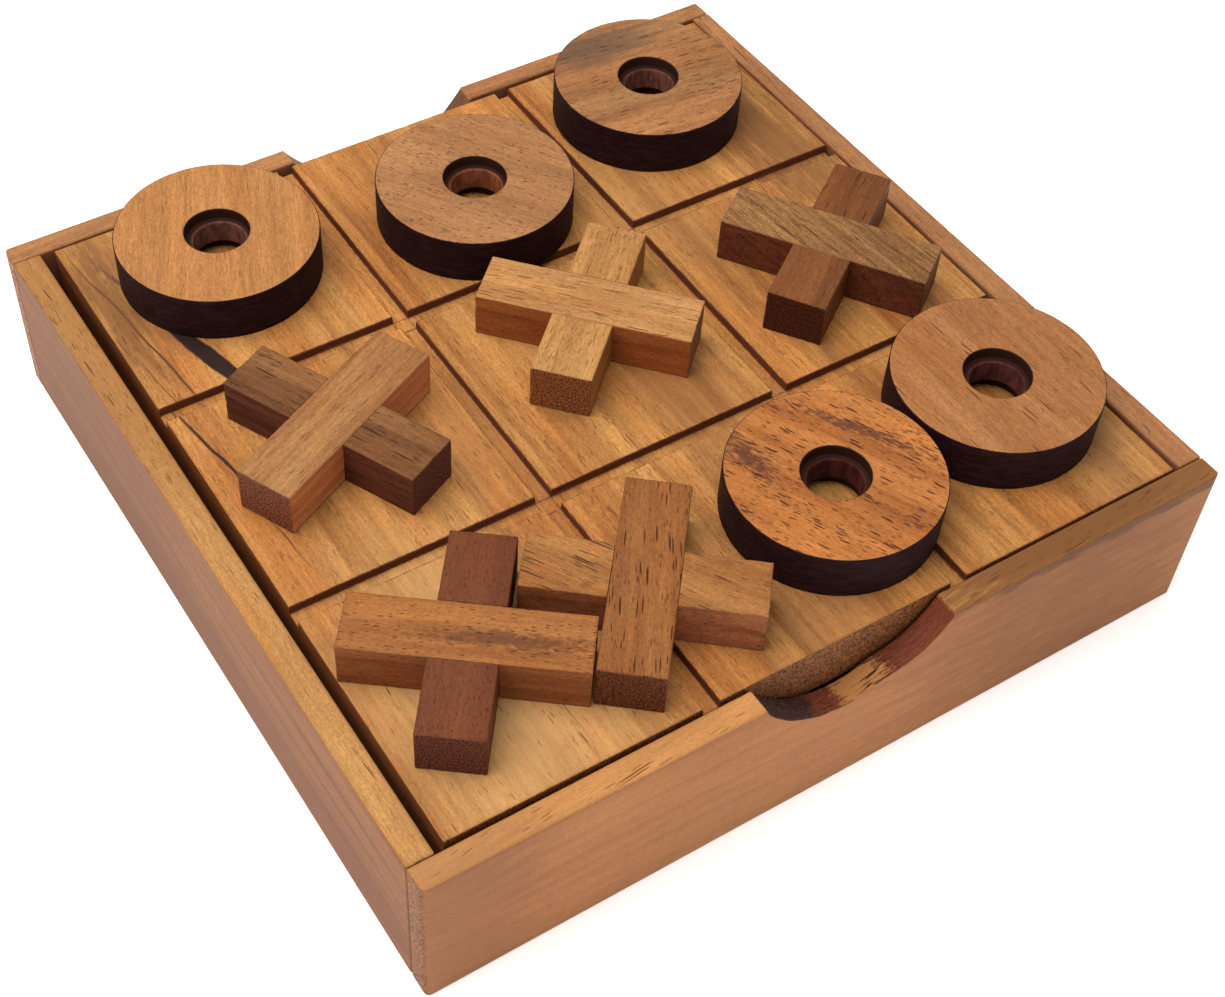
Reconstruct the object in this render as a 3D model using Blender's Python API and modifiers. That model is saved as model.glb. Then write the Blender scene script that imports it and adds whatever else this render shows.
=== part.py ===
"""Wooden tic tac toe set: a square box, its grooved board, five rings and five half-lapped crosses.

Metres, +Z up. The origin is the middle of the box's underside, the front wall faces -Y.
"""

from math import cos, pi, radians, sin

import bmesh
import bpy
from mathutils import Matrix

# Box
box_length = 0.1408        # outside, along X
box_width = 0.1404         # outside, along Y
box_height = 0.0292
end_wall = 0.0042          # front and back walls, which run the whole length
side_wall = 0.0048         # left and right walls, which butt between them
base_thickness = 0.0030
ledge_width = 0.0050

# Finger scoops in the end walls
scoop_depth = 0.0096
front_scoop_width = 0.0336
back_scoop_width = 0.0360
front_scoop_x = 0.0012     # from the middle of the wall to the middle of the scoop
back_scoop_x = -0.0009

# Board
board_thickness = 0.0102
groove_width = 0.0028
groove_depth = 0.0016
board_turn = radians(-0.25)
left_gap = 0.0017          # board to wall, at the nearest corner of each side
right_gap = 0.0004
front_gap = 0.0003
back_gap = 0.0005

# Playing pieces
ring_clearance = 0.0038    # between a ring and the edge of a cell, all round
ring_hole = 0.0106         # at both faces
ring_web_hole = 0.0086     # narrower, in the middle of the thickness
ring_bore_depth = 0.0020   # how far the wide hole goes in from each face
ring_thickness = 0.0078
bar_clearance = 0.0030     # between the end of a bar and the edge of a cell
bar_width = 0.0098
bar_thickness = 0.0077
piece_bevel = 0.0003

# Gaps
glue_gap = 0.0003          # between pieces that are glued or that rest on each other
lap_gap = 0.0003           # between the two bars of a cross
ring_pair_gap = 0.0008     # between the two rings that lie side by side
nest_gap = 0.0004          # between the two crosses that lie nested
scoop_overcut = 0.0020     # how far a cutter passes the face that it cuts

ring_steps = 48
scoop_steps = 96

# Derived sizes
inner_length = box_length - 2 * side_wall
inner_width = box_width - 2 * end_wall
swing = sin(abs(board_turn))
board_length = inner_length * (1 - swing) - left_gap - right_gap
board_width = inner_width * (1 - swing) - front_gap - back_gap
board_x = (left_gap - right_gap) / 2
board_y = (front_gap - back_gap) / 2
board_bottom = box_height - board_thickness
cell_length = (board_length - 2 * groove_width) / 3
cell_width = (board_width - 2 * groove_width) / 3
column_pitch = cell_length + groove_width
row_pitch = cell_width + groove_width
cell = min(cell_length, cell_width)
ring_radius = cell / 2 - ring_clearance
bar_length = cell - 2 * bar_clearance

# Where the pieces lie, in cells from the middle of the board, and how far each cross is turned
ring_cells = {
    "ring_1": (-0.960, 1.076),
    "ring_2": (0.021, 0.870),
    "ring_3": (0.945, 1.063),
    "ring_4": (1.084, -0.923),
}
ring_pair_angle = radians(186.4)
cross_cells = {
    "cross_1": (-1.003, 0.064, radians(25.8)),
    "cross_2": (0.046, 0.097, radians(132.9)),
    "cross_3": (1.016, -0.056, radians(124.8)),
    "cross_4": (-0.478, -1.046, radians(50.4)),
}
nest_turn = radians(2.0)
nest_slide = -0.0139

# Colours, as linear red, green and blue
wood_colours = {
    "front_wall": (0.42, 0.20, 0.09),
    "back_wall": (0.42, 0.21, 0.09),
    "left_wall": (0.45, 0.22, 0.10),
    "right_wall": (0.40, 0.19, 0.08),
    "base_panel": (0.50, 0.33, 0.17),
    "ledge_left": (0.38, 0.20, 0.09),
    "ledge_right": (0.38, 0.20, 0.09),
    "game_board": (0.48, 0.25, 0.09),
    "ring_1": (0.50, 0.20, 0.07),
    "ring_2": (0.38, 0.20, 0.09),
    "ring_3": (0.28, 0.14, 0.06),
    "ring_4": (0.36, 0.18, 0.08),
    "ring_5": (0.45, 0.17, 0.06),
    "cross_1_over": (0.45, 0.25, 0.12),
    "cross_1_under": (0.15, 0.07, 0.035),
    "cross_2_over": (0.50, 0.28, 0.11),
    "cross_2_under": (0.52, 0.28, 0.11),
    "cross_3_over": (0.20, 0.13, 0.07),
    "cross_3_under": (0.26, 0.12, 0.06),
    "cross_4_over": (0.24, 0.11, 0.05),
    "cross_4_under": (0.44, 0.24, 0.10),
    "cross_5_over": (0.27, 0.16, 0.08),
    "cross_5_under": (0.22, 0.09, 0.04),
}


def clear_scene():
    for item in list(bpy.data.objects):
        bpy.data.objects.remove(item, do_unlink=True)


def new_collection(name):
    collection = bpy.data.collections.new(name)
    bpy.context.scene.collection.children.link(collection)
    return collection


def wood(name):
    material = bpy.data.materials.new(name + "_wood")
    material.use_nodes = True
    shader = material.node_tree.nodes["Principled BSDF"]
    shader.inputs["Base Color"].default_value = (*wood_colours[name], 1.0)
    shader.inputs["Roughness"].default_value = 0.55
    shader.inputs["Metallic"].default_value = 0.0
    return material


def block_mesh(name, size):
    """A box of the given size, centred on its own origin."""
    shape = bmesh.new()
    bmesh.ops.create_cube(shape, size=1.0, matrix=Matrix.Diagonal((*size, 1.0)))
    mesh = bpy.data.meshes.new(name)
    shape.to_mesh(mesh)
    shape.free()
    return mesh


def add_object(name, mesh, location, collection, turn=0.0, parent=None):
    item = bpy.data.objects.new(name, mesh)
    item.location = location
    item.rotation_euler = (0.0, 0.0, turn)
    item.parent = parent
    collection.objects.link(item)
    return item


def add_block(name, low, high, collection, turn=0.0, parent=None):
    """A wooden box between two corners, given in its parent's frame, with its origin at its middle."""
    size = [b - a for a, b in zip(low, high)]
    middle = [(a + b) / 2 for a, b in zip(low, high)]
    item = add_object(name, block_mesh(name, size), middle, collection, turn, parent)
    item.data.materials.append(wood(name))
    return item


def ease_edges(item, width):
    bevel = item.modifiers.new("eased_edges", "BEVEL")
    bevel.width = width
    bevel.segments = 1
    bevel.limit_method = "ANGLE"


def hide_cutter(item):
    item.hide_render = True
    item.display_type = "WIRE"


def cut(item, cutter):
    difference = item.modifiers.new("cut_" + cutter.name, "BOOLEAN")
    difference.operation = "DIFFERENCE"
    difference.solver = "EXACT"
    difference.object = cutter
    hide_cutter(cutter)


def make_scoop_cutter(name, x, width, wall_y, cutters):
    """A cylinder along Y whose lowest line is the bottom of the finger scoop."""
    radius = (width ** 2 / 4 + scoop_depth ** 2) / (2 * scoop_depth)
    shape = bmesh.new()
    bmesh.ops.create_cone(
        shape,
        cap_ends=True,
        segments=scoop_steps,
        radius1=radius,
        radius2=radius,
        depth=end_wall + 2 * scoop_overcut,
        matrix=Matrix.Rotation(pi / 2, 4, "X"),
    )
    mesh = bpy.data.meshes.new(name)
    shape.to_mesh(mesh)
    shape.free()
    return add_object(name, mesh, (x, wall_y, box_height - scoop_depth + radius), cutters)


def make_end_walls(parts, cutters):
    scoops = (
        ("front_wall", -1, front_scoop_x, front_scoop_width),
        ("back_wall", 1, back_scoop_x, back_scoop_width),
    )
    for name, side, scoop_x, scoop_width in scoops:
        outer = side * box_width / 2
        inner = side * (box_width / 2 - end_wall)
        low = (-box_length / 2, min(outer, inner), 0.0)
        high = (box_length / 2, max(outer, inner), box_height)
        wall = add_block(name, low, high, parts)
        cut(wall, make_scoop_cutter(name + "_scoop", scoop_x, scoop_width, (outer + inner) / 2, cutters))


def make_side_walls(parts):
    half_width = inner_width / 2 - glue_gap
    for name, side in (("left_wall", -1), ("right_wall", 1)):
        outer = side * box_length / 2
        inner = side * (box_length / 2 - side_wall)
        low = (min(outer, inner), -half_width, 0.0)
        high = (max(outer, inner), half_width, box_height)
        add_block(name, low, high, parts)


def make_base(parts):
    half_length = inner_length / 2 - glue_gap
    half_width = inner_width / 2 - glue_gap
    low = (-half_length, -half_width, 0.0)
    high = (half_length, half_width, base_thickness)
    add_block("base_panel", low, high, parts)


def make_ledges(parts):
    half_width = inner_width / 2 - glue_gap
    for name, side in (("ledge_left", -1), ("ledge_right", 1)):
        outer = side * (inner_length / 2 - glue_gap)
        inner = outer - side * ledge_width
        low = (min(outer, inner), -half_width, base_thickness + glue_gap)
        high = (max(outer, inner), half_width, board_bottom - glue_gap)
        add_block(name, low, high, parts)


def make_board(parts, cutters):
    """The board, with its grooves cut by long bars that lie between the cells."""
    half = (board_length / 2, board_width / 2, board_thickness / 2)
    board = add_block("game_board", [-size for size in half], half, parts, turn=board_turn)
    board.location = (board_x, board_y, board_bottom + board_thickness / 2)
    ease_edges(board, piece_bevel)
    floor = half[2] - groove_depth
    top = half[2] + scoop_overcut
    for side, word in ((-1, "low"), (1, "high")):
        x = side * column_pitch / 2
        y = side * row_pitch / 2
        reach_x = half[0] + scoop_overcut
        reach_y = half[1] + scoop_overcut
        grooves = {
            "groove_along_" + word: ((x, 0.0), (groove_width, 2 * reach_y)),
            "groove_across_" + word: ((0.0, y), (2 * reach_x, groove_width)),
        }
        for name, (place, size) in grooves.items():
            mesh = block_mesh(name, (*size, top - floor))
            cut(board, add_object(name, mesh, (*place, (top + floor) / 2), cutters, parent=board))
    return board


def ring_profile():
    """Half section of a ring as a closed loop, which runs down the outer side and up the stepped hole."""
    hole = ring_hole / 2
    web = ring_web_hole / 2
    low, high = -ring_thickness / 2, ring_thickness / 2
    return [
        (hole, high),
        (ring_radius - piece_bevel, high),
        (ring_radius, high - piece_bevel),
        (ring_radius, low + piece_bevel),
        (ring_radius - piece_bevel, low),
        (hole, low),
        (hole, low + ring_bore_depth),
        (web, low + ring_bore_depth),
        (web, high - ring_bore_depth),
        (hole, high - ring_bore_depth),
    ]


def make_ring_mesh():
    section = ring_profile()
    loop = [(index, (index + 1) % len(section)) for index in range(len(section))]
    mesh = bpy.data.meshes.new("ring_section")
    mesh.from_pydata([(x, 0.0, z) for x, z in section], loop, [])
    return mesh


def add_ring(name, x, y, board, parts):
    z = board_thickness / 2 + glue_gap + ring_thickness / 2
    ring = add_object(name, make_ring_mesh(), (x, y, z), parts, parent=board)
    ring.data.materials.append(wood(name))
    turning = ring.modifiers.new("turning", "SCREW")
    turning.axis = "Z"
    turning.angle = 2 * pi
    turning.steps = ring_steps
    turning.render_steps = ring_steps
    turning.use_merge_vertices = True
    turning.merge_threshold = 0.00001
    turning.use_smooth_shade = False


def make_rings(board, parts):
    places = {name: (column * column_pitch, row * row_pitch) for name, (column, row) in ring_cells.items()}
    reach = 2 * ring_radius + ring_pair_gap
    x, y = places["ring_4"]
    places["ring_5"] = (x + reach * cos(ring_pair_angle), y + reach * sin(ring_pair_angle))
    for name, (x, y) in places.items():
        add_ring(name, x, y, board, parts)


def add_cross(name, x, y, turn, board, parts, cutters):
    """Two bars at right angles; the over bar is notched from below and the under bar from above."""
    rise = board_thickness / 2 + glue_gap + bar_thickness / 2
    holder = add_object(name, None, (x, y, rise), parts, turn, board)
    half = (bar_length / 2, bar_width / 2, bar_thickness / 2)
    for word, angle, side in (("over", 0.0, -1), ("under", pi / 2, 1)):
        bar = add_block(f"{name}_{word}", [-size for size in half], half, parts, angle, holder)
        ease_edges(bar, piece_bevel)
        notch_low, notch_high = sorted((-side * lap_gap / 2, side * (half[2] + scoop_overcut)))
        size = (bar_width + 2 * lap_gap, bar_width + 2 * scoop_overcut, notch_high - notch_low)
        notch = block_mesh(f"{name}_{word}_notch", size)
        place = (0.0, 0.0, (notch_low + notch_high) / 2)
        cut(bar, add_object(notch.name, notch, place, cutters, angle, holder))


def make_crosses(board, parts, cutters):
    places = {
        name: (column * column_pitch, row * row_pitch, turn)
        for name, (column, row, turn) in cross_cells.items()
    }
    # cross_5 lies nested against cross_4: its bar's end faces the side of cross_4's over bar
    x, y, turn = places["cross_4"]
    side = (bar_length * cos(nest_turn) + bar_width * sin(nest_turn) + bar_width) / 2 + nest_gap
    places["cross_5"] = (
        x + nest_slide * cos(turn) - side * sin(turn),
        y + nest_slide * sin(turn) + side * cos(turn),
        turn + nest_turn + pi / 2,
    )
    for name, (x, y, turn) in places.items():
        add_cross(name, x, y, turn, board, parts, cutters)


def main():
    clear_scene()
    parts = new_collection("tic_tac_toe_set")
    cutters = new_collection("cutters")
    make_end_walls(parts, cutters)
    make_side_walls(parts)
    make_base(parts)
    make_ledges(parts)
    board = make_board(parts, cutters)
    make_rings(board, parts)
    make_crosses(board, parts, cutters)


main()
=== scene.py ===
import math

import bpy
import numpy as np
from mathutils import Matrix, Vector


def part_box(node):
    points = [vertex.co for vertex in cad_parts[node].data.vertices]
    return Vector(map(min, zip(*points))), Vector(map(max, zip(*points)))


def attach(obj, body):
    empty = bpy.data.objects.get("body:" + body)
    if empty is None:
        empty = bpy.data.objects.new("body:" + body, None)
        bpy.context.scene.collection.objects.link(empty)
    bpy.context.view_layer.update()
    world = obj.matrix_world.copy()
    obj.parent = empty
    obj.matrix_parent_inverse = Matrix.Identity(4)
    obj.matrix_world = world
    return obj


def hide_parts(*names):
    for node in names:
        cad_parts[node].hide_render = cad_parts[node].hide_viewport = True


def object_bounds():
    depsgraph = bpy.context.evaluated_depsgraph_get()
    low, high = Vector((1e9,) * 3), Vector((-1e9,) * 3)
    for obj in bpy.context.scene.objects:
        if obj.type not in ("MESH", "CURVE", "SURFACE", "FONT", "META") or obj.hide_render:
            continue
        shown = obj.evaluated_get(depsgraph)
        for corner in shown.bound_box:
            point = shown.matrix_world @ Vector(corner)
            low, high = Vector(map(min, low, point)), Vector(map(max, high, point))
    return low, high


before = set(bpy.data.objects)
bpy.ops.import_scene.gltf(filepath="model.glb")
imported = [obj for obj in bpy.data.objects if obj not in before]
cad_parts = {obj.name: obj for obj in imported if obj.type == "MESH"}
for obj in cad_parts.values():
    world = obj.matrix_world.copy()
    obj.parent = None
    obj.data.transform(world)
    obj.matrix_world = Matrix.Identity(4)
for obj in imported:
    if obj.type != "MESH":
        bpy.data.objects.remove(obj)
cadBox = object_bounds()
print("loaded the packed set:", len(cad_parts), "nodes")

mm = 0.001


# ---- small tools for surfaces ----

def addObject(name, data):
    thing = bpy.data.objects.new(name, data)
    bpy.context.scene.collection.objects.link(thing)
    return thing


def smoothStep(low, high, value):
    # 0 below low and 1 above high, with 3t^2 - 2t^3 between them
    t = np.clip((value - low) / (high - low), 0, 1)
    return t * t * (3 - 2 * t)


def sineNoise(points, cycles, seed, waves=10):
    # the mean of sin(k.p + phase) over waves of random direction, each of about the given cycles per metre
    rng = np.random.default_rng(seed)
    directions = rng.normal(size=(waves, 3))
    lengths = 2 * math.pi * cycles * rng.uniform(0.6, 1.5, waves)
    directions *= (lengths / np.linalg.norm(directions, axis=1))[:, None]
    phases = rng.uniform(0, 2 * math.pi, waves)
    return np.sin(points @ directions.T + phases).mean(axis=1) * 2


def turned(points, angle):
    # the points turned about the vertical axis: x' = x cos a - y sin a, y' = x sin a + y cos a
    c, s = math.cos(angle), math.sin(angle)
    x, y, z = points[:, 0], points[:, 1], points[:, 2]
    return np.column_stack([c * x - s * y, s * x + c * y, z])


def stations(half, roll, spacing, extra=()):
    # places along one axis of a block: even steps inside, finer ones over each rolled edge, any extra ones
    edge = half - roll * np.array([0, 0.12, 0.3, 0.6, 1, 1.7])
    inside = half - roll * 2.5
    even = np.linspace(-inside, inside, max(2, int(round(2 * inside / spacing)) + 1))
    return np.unique(np.concatenate([-edge, even, edge, np.asarray(extra, float)]).round(7))


def blockGrid(xs, ys, zs):
    # six grids, one for each side of a box: two axes run over their stations and the third stays at its end
    axes = (xs, ys, zs)
    points, quads, start = [], [], 0
    for axis in range(3):
        u, v = (axis + 1) % 3, (axis + 2) % 3
        for end in (0, -1):
            grid = np.empty((len(axes[u]), len(axes[v]), 3))
            grid[..., u] = axes[u][:, None]
            grid[..., v] = axes[v][None, :]
            grid[..., axis] = axes[axis][end]
            index = np.arange(grid[..., 0].size).reshape(grid.shape[:2]) + start
            corners = [index[:-1, :-1], index[1:, :-1], index[1:, 1:], index[:-1, 1:]]
            quad = np.stack(corners, axis=-1).reshape(-1, 4)
            quads.append(quad if end == -1 else quad[:, ::-1])
            points.append(grid.reshape(-1, 3))
            start += index.size
    unique, inverse = np.unique(np.concatenate(points), axis=0, return_inverse=True)
    return unique, inverse.reshape(-1)[np.concatenate(quads)]


def rolledBlock(size, roll, spacing, extraX=(), extraY=()):
    # a box whose edges are rolled over: each point is pulled back to the inner box and pushed out by the roll
    half = np.asarray(size, float) / 2
    extras = (extraX, extraY, ())
    axes = [stations(half[n], roll, spacing[n], extras[n]) for n in range(3)]
    sharp, quads = blockGrid(*axes)
    inner = np.clip(sharp, roll - half, half - roll)
    out = sharp - inner
    points = inner + out * (roll / np.linalg.norm(out, axis=1))[:, None]
    edgeDistance = np.sort(half - np.abs(sharp), axis=1)[:, 1]
    return points, quads, sharp, edgeDistance


def makePiece(name, points, quads, body, nodes, marks):
    # the finished mesh, with its marks as point attributes; faces turn round if the volume is negative
    a, b, c, d = (points[quads[:, n]] for n in range(4))
    volume = np.einsum("ij,ij->i", a, np.cross(b, c) + np.cross(c, d)).sum()
    if volume < 0:
        quads = quads[:, ::-1]
    mesh = bpy.data.meshes.new(name)
    mesh.from_pydata(points, [], quads)
    for label, values in marks.items():
        mesh.attributes.new(label, "FLOAT", "POINT").data.foreach_set("value", values.astype(np.float32))
    mesh.polygons.foreach_set("use_smooth", np.ones(len(quads), bool))
    mesh.update()
    piece = addObject(name, mesh)
    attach(piece, body)
    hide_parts(*nodes)
    return piece


# ---- small tools for shader nodes ----

def addNode(tree, kind, inputs=None, **settings):
    # each input is linked when it is another node's socket, and set when it is a plain value
    node = tree.nodes.new("ShaderNode" + kind)
    for key, value in settings.items():
        setattr(node, key, value)
    for key, value in (inputs or {}).items():
        if isinstance(value, bpy.types.NodeSocket):
            tree.links.new(value, node.inputs[key])
        else:
            node.inputs[key].default_value = value
    return node


def calc(tree, operation, *values):
    return addNode(tree, "Math", dict(enumerate(values)), operation=operation).outputs[0]


def addAround(tree, value, size, base):
    # base + size (value - 0.5), which lets a noise push both ways
    return calc(tree, "MULTIPLY_ADD", calc(tree, "SUBTRACT", value, 0.5), size, base)


def joined(tree, **parts):
    return addNode(tree, "CombineXYZ", parts).outputs[0]


def partsOf(tree, vector):
    return addNode(tree, "SeparateXYZ", {"Vector": vector}).outputs


def calcVector(tree, operation, *values):
    node = addNode(tree, "VectorMath", dict(enumerate(values)), operation=operation)
    return node.outputs["Value" if operation in ("LENGTH", "DOT_PRODUCT") else "Vector"]


def ease(tree, value, low, high, first=0, last=1):
    # a smooth step from first to last as the value goes from low to high
    inputs = {"Value": value, "From Min": low, "From Max": high, "To Min": first, "To Max": last}
    return addNode(tree, "MapRange", inputs, interpolation_type="SMOOTHSTEP").outputs["Result"]


def mixColour(tree, factor, first, second, mode="MIX"):
    # sockets 6 and 7 and output 2 are the colour ones
    inputs = {0: factor, 6: first, 7: second}
    return addNode(tree, "Mix", inputs, data_type="RGBA", blend_type=mode).outputs[2]


def greyOf(tree, value):
    return addNode(tree, "CombineColor", {"Red": value, "Green": value, "Blue": value}).outputs[0]


def noise(tree, vector, stretch, detail=2, roughness=0.5, shift=(0, 0, 0)):
    # soft noise of a vector in millimetres, stretched by cycles per millimetre along each axis
    moved = calcVector(tree, "MULTIPLY_ADD", vector, stretch, shift)
    inputs = {"Vector": moved, "Scale": 1, "Detail": detail, "Roughness": roughness}
    return addNode(tree, "TexNoise", inputs).outputs["Fac"]


def newGroup(name, inputs, outputs):
    # a node tree with named sockets, listed by kind, and what it is given
    group = bpy.data.node_groups.new(name, "ShaderNodeTree")
    kinds = {"float": "NodeSocketFloat", "colour": "NodeSocketColor", "vector": "NodeSocketVector"}
    for way, sockets in (("INPUT", inputs), ("OUTPUT", outputs)):
        for kind, labels in sockets.items():
            for label in labels:
                group.interface.new_socket(label, in_out=way, socket_type=kinds[kind])
    return group, group.nodes.new("NodeGroupInput").outputs


def giveOut(group, **results):
    # the results go to the sockets of the same names, and the finished group comes back
    sockets = group.nodes.new("NodeGroupOutput").inputs
    for label, value in results.items():
        group.links.new(value, sockets[label])
    return group


def makeGrainGroup():
    # solid wood: growth rings round a heart line, fibres and clouds, in millimetres, the grain along x
    group, given = newGroup(
        "woodGrain",
        {"vector": ("Vector", "Heart"), "colour": ("Pale", "Dark", "Blush"),
         "float": ("Seed", "Ring Width", "Ring Bend", "Ring Depth", "Line Depth", "Streak", "Fibre",
                   "Cloud", "Fuzz")},
        {"colour": ("Colour",), "float": ("Fibres",), "vector": ("Moved",)},
    )
    scaled = calcVector(group, "SCALE", given["Vector"])
    scaled.node.inputs["Scale"].default_value = 1000
    seed = joined(group, X=given["Seed"], Y=given["Seed"], Z=given["Seed"])
    moved = calcVector(group, "MULTIPLY_ADD", seed, (37.1, 91.7, 53.9), scaled)
    bendA = noise(group, moved, (0.014, 0.06, 0.06), 2)
    bendB = noise(group, moved, (0.07, 0.4, 0.4), 2)
    across = calcVector(group, "MULTIPLY", calcVector(group, "SUBTRACT", scaled, given["Heart"]), (0, 1, 1))
    reach = calcVector(group, "LENGTH", across)
    bend = calc(group, "MULTIPLY_ADD", bendB, 0.1, calc(group, "SUBTRACT", bendA, 0.5))
    reach = calc(group, "MULTIPLY_ADD", bend, given["Ring Bend"], reach)
    turns = calc(group, "DIVIDE", reach, given["Ring Width"])
    part = calc(group, "FRACT", turns)
    late = calc(group, "MULTIPLY", ease(group, part, 0.2, 0.92), ease(group, part, 0.94, 1, 1, 0))
    whole = addNode(group, "TexWhiteNoise", {"W": calc(group, "FLOOR", turns)}, noise_dimensions="1D")
    rings = calc(group, "MULTIPLY", late, calc(group, "MULTIPLY_ADD", whole.outputs["Value"], 0.9, 0.1))
    line = calc(group, "MULTIPLY", ease(group, part, 0.86, 0.95), ease(group, part, 0.95, 1, 1, 0))
    line = calc(group, "MULTIPLY", line, ease(group, noise(group, moved, (0.05, 0.3, 0.3)), 0.4, 0.62))
    fibres = noise(group, moved, (0.3, 2.6, 2.6), 4, 0.75)
    threads = noise(group, moved, (0.07, 1.2, 1.2), 3, 0.65, (3, 5, 2))
    fuzz = noise(group, moved, (1.6, 3.6, 3.6), 2, 0.7, (6, 2, 4))
    streaks = noise(group, moved, (0.02, 0.42, 0.42), 2, 0.55)
    clouds = noise(group, moved, (0.04, 0.09, 0.09), 2, 0.5, (7, 3, 1))
    tone = calc(group, "MULTIPLY_ADD", rings, given["Ring Depth"], 0.38)
    tone = addAround(group, streaks, given["Streak"], tone)
    tone = addAround(group, threads, given["Fibre"], tone)
    tone = addAround(group, clouds, given["Cloud"], tone)
    tone = calc(group, "MULTIPLY_ADD", line, given["Line Depth"], tone)
    tone.node.use_clamp = True
    colour = mixColour(group, tone, given["Pale"], given["Dark"])
    blushing = ease(group, noise(group, moved, (0.02, 0.13, 0.13), 2, 0.5, (1, 8, 5)), 0.4, 0.66)
    colour = mixColour(group, blushing, colour, mixColour(group, 1, colour, given["Blush"], "MULTIPLY"))
    shade = addAround(group, fibres, given["Fibre"], 1)
    shade = addAround(group, fuzz, given["Fuzz"], shade)
    colour = mixColour(group, 1, colour, greyOf(group, shade), "MULTIPLY")
    return giveOut(group, Colour=colour, Fibres=fibres, Moved=moved)


def makePoreGroup():
    # open pores: long cells of a cell pattern, each with one ellipsoid of random size round its point;
    # a slow noise thins them out in bands, and the greater of this layer and the last one is kept
    group, given = newGroup(
        "openPores",
        {"vector": ("Moved",), "float": ("Length", "Width", "Amount", "Bands", "Strength", "Earlier")},
        {"float": ("Pores",)},
    )
    wiggle = noise(group, given["Moved"], (0.1, 0.25, 0.25), 1)
    sway = joined(group, Y=calc(group, "MULTIPLY", wiggle, 1.2), Z=calc(group, "MULTIPLY", wiggle, 0.9))
    bent = calcVector(group, "ADD", given["Moved"], sway)
    across = calc(group, "DIVIDE", 0.45, given["Width"])
    scale = joined(group, X=calc(group, "DIVIDE", 0.45, given["Length"]), Y=across, Z=across)
    cells = calcVector(group, "MULTIPLY", bent, scale)
    voronoi = addNode(group, "TexVoronoi", {"Vector": cells, "Scale": 1, "Randomness": 1})
    random = addNode(group, "SeparateColor", {"Color": voronoi.outputs["Color"]})
    band = noise(group, given["Moved"], (0.03, 0.22, 0.22), 2, 0.5, (4, 9, 6))
    band = addAround(group, band, given["Bands"], given["Amount"])
    there = calc(group, "LESS_THAN", random.outputs["Red"], band)
    size = calc(group, "MULTIPLY", there, calc(group, "MULTIPLY_ADD", random.outputs["Green"], 0.24, 0.14))
    crumbled = noise(group, given["Moved"], (1.2, 5, 5), 1)
    reach = calc(group, "MULTIPLY_ADD", crumbled, 0.12, voronoi.outputs["Distance"])
    inside = calc(group, "SUBTRACT", size, reach)
    found = calc(group, "MULTIPLY", ease(group, inside, -0.06, 0.05), given["Strength"])
    return giveOut(group, Pores=calc(group, "MAXIMUM", found, given["Earlier"]))


def makeStainAndShadeGroup():
    # a long patch, for stains and painted light and shade alike: the distance to its middle, in half lengths
    # and half widths, swayed by a slow noise and roughened by a fine one, fades out between the core and the
    # rim
    group, given = newGroup(
        "stainAndShadePatch",
        {"vector": ("Vector", "Middle", "Turn", "Half Size", "Ragged"),
         "float": ("Rough", "Core", "Sway", "Strength")},
        {"float": ("Mask",)},
    )
    bend = calc(group, "SUBTRACT", noise(group, given["Vector"], (70, 20, 20), 1), 0.5)
    bend = joined(group, Y=calc(group, "MULTIPLY", bend, given["Sway"]))
    swayed = calcVector(group, "ADD", given["Vector"], bend)
    inputs = {"Vector": swayed, "Location": given["Middle"], "Rotation": given["Turn"],
              "Scale": given["Half Size"]}
    place = addNode(group, "Mapping", inputs, vector_type="TEXTURE").outputs[0]
    reach = calcVector(group, "LENGTH", calcVector(group, "MULTIPLY", place, (1, 1, 0)))
    ragged = noise(group, given["Vector"], given["Ragged"], 3, 0.6)
    reach = addAround(group, ragged, given["Rough"], reach)
    faded = ease(group, reach, given["Core"], 1.1, 1, 0)
    return giveOut(group, Mask=calc(group, "MULTIPLY", faded, given["Strength"]))


def makeRaggedGroup():
    # a mark's own value pushed up and down by a noise, then eased from low to high
    group, given = newGroup(
        "raggedMark",
        {"vector": ("Vector", "Cycles"), "float": ("Mark", "Rough", "Low", "High")},
        {"float": ("Mask",)},
    )
    push = noise(group, given["Vector"], given["Cycles"], 3, 0.6)
    reach = addAround(group, push, given["Rough"], given["Mark"])
    return giveOut(group, Mask=ease(group, reach, given["Low"], given["High"]))


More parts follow.
